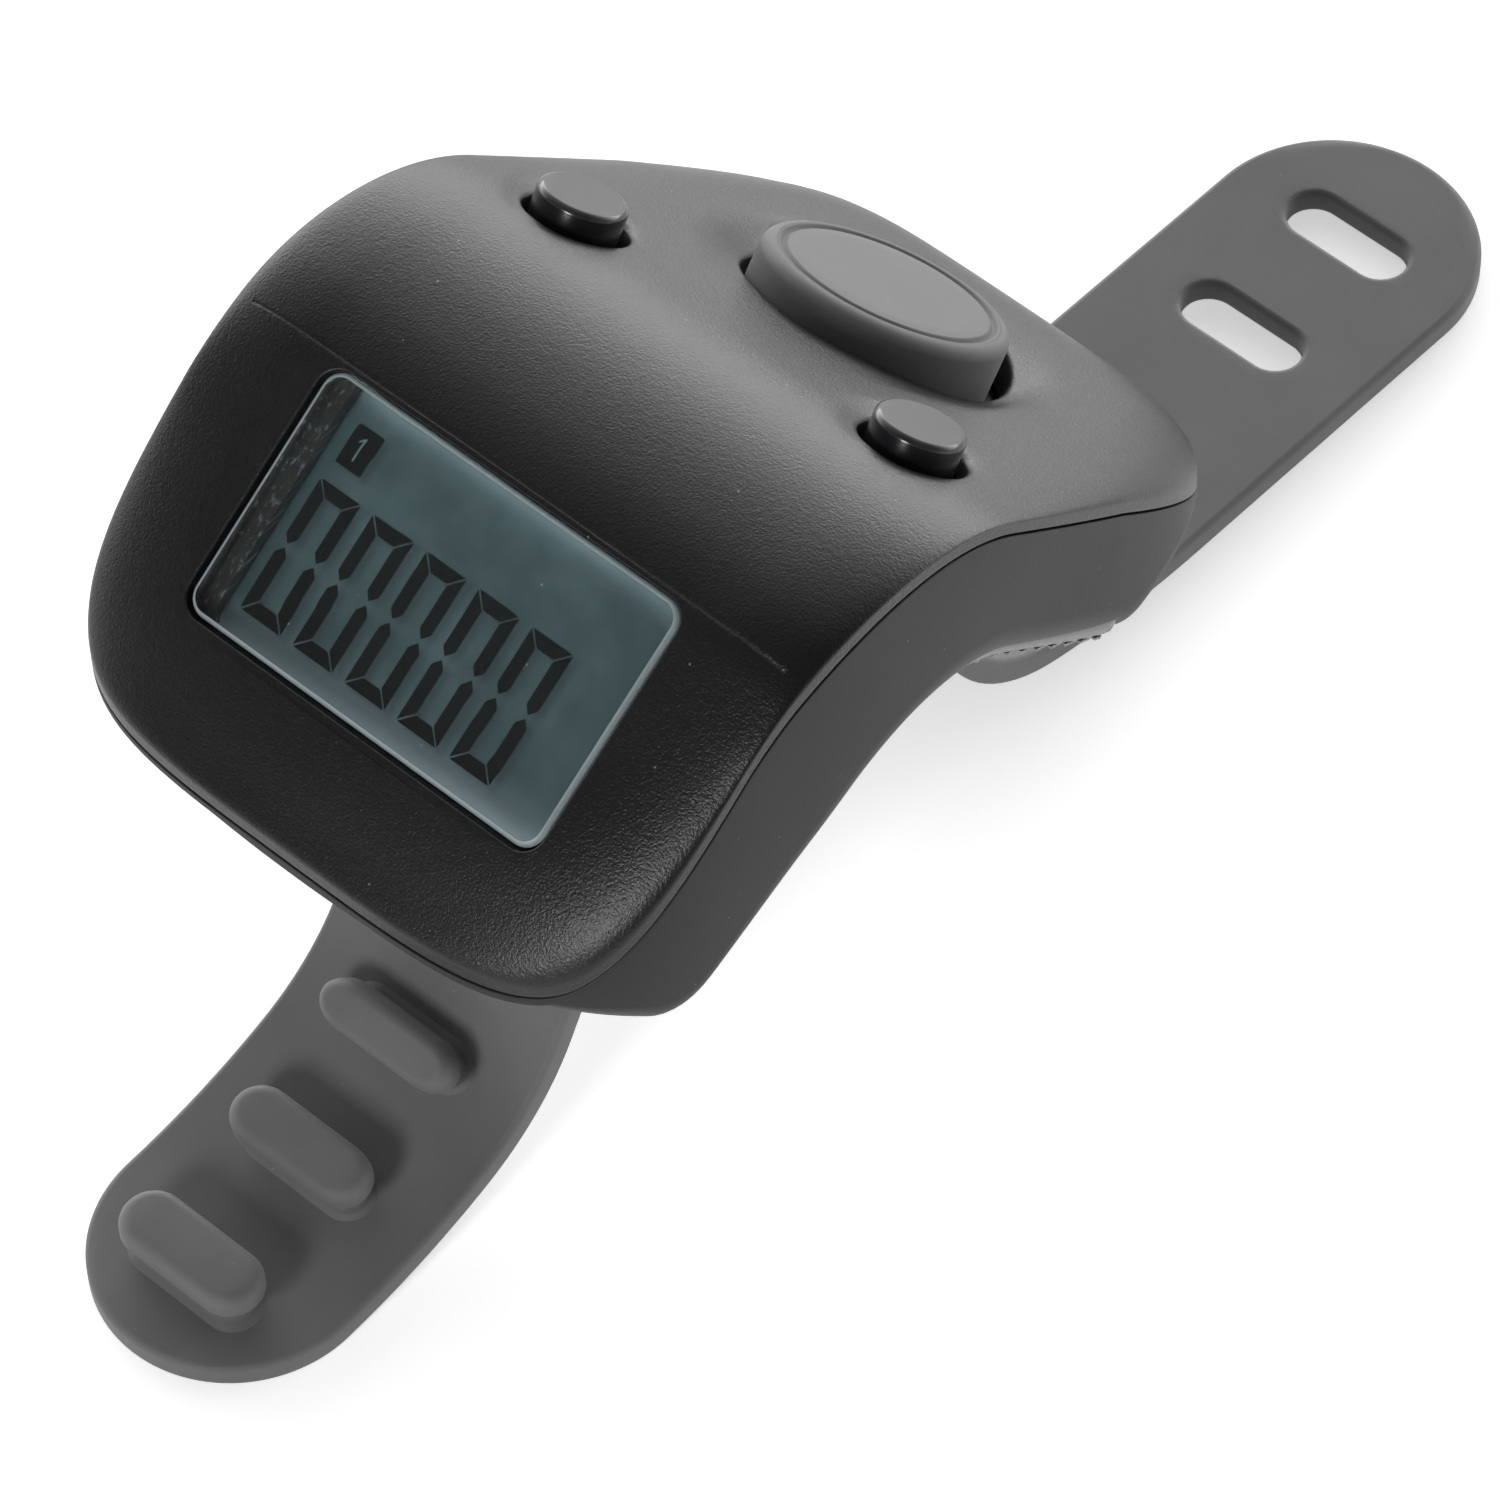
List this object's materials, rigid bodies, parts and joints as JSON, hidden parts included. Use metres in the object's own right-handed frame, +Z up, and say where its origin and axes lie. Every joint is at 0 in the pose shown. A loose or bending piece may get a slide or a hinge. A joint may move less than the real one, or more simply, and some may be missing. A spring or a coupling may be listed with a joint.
{
  "type": "finger counter",
  "caption": "Saddle-shaped hand tally counter with a number display on its front slope, push buttons on its back slope and a silicone finger strap.",
  "frame": {"origin": "on the surface that the strap stands on, under the middle of the strap", "axes": "+Z up, -Y towards the display end, X across the counter, along the finger that wears it"},
  "size_m": [0.0312, 0.0846, 0.0345],
  "materials": {
    "case_black": "fine spark-eroded grain",
    "button_black": "glossy sides, satin top",
    "silicone_grey": "matte moulded silicone",
    "button_grey": "matte soft-touch",
    "clear_window": "clear polished",
    "display_glass": "grey-blue liquid-crystal glass",
    "frame_grey": "moulded",
    "holder_white": "moulded",
    "board_green": "solder mask",
    "rubber_black": "matte",
    "steel": "bright",
    "flex_amber": "smooth film"
  },
  "bodies": {
    "case": {"top_cover": "case_black", "bottom_cover": "case_black", "display_window": "clear_window", "display_frame": "frame_grey", "display_glass": "display_glass", "zebra_connector_upper": "rubber_black", "zebra_connector_lower": "rubber_black", "display_board": "board_green", "counter_chip": "rubber_black", "cell_holder": "holder_white", "button_cell": "steel", "cell_contact_negative": "steel", "cell_contact_positive": "steel", "display_board_screw_left": "steel", "display_board_screw_right": "steel", "button_board": "board_green", "main_switch": "rubber_black", "left_switch": "rubber_black", "right_switch": "rubber_black", "button_board_screw_left": "steel", "button_board_screw_right": "steel", "flex_cable": "flex_amber", "cover_screw_front_left": "steel", "cover_screw_front_right": "steel", "cover_screw_rear_left": "steel", "cover_screw_rear_right": "steel", "strap_centre": "silicone_grey"},
    "main_button": {"main_button": "button_grey", "main_switch_plunger": "holder_white"},
    "left_button": {"left_button": "button_black", "left_switch_plunger": "holder_white"},
    "right_button": {"right_button": "button_black", "right_switch_plunger": "holder_white"},
    "strap_front": {"strap_front": "silicone_grey"},
    "strap_rear": {"strap_rear": "silicone_grey"}
  },
  "joints": [
    {"name": "main_press", "type": "slide", "parent": "case", "child": "main_button", "axis": [0, -0.6252, -0.7804], "range_m": [0, 0.0005], "stiffness_N_per_m": 1200},
    {"name": "left_press", "type": "slide", "parent": "case", "child": "left_button", "axis": [0, -0.5519, -0.8339], "range_m": [0, 0.0004], "stiffness_N_per_m": 1200},
    {"name": "right_press", "type": "slide", "parent": "case", "child": "right_button", "axis": [0, -0.5519, -0.8339], "range_m": [0, 0.0004], "stiffness_N_per_m": 1200},
    {"name": "strap_front_bend", "type": "hinge", "parent": "case", "child": "strap_front", "pos_m": [0, -0.01432, 0.01832], "axis": [1, 0, 0], "range_deg": [-8, 30], "stiffness_Nm_per_rad": 0.05},
    {"name": "strap_rear_bend", "type": "hinge", "parent": "case", "child": "strap_rear", "pos_m": [0, -0.00381, 0.01832], "axis": [-1, 0, 0], "range_deg": [-8, 30], "stiffness_Nm_per_rad": 0.05}
  ]
}
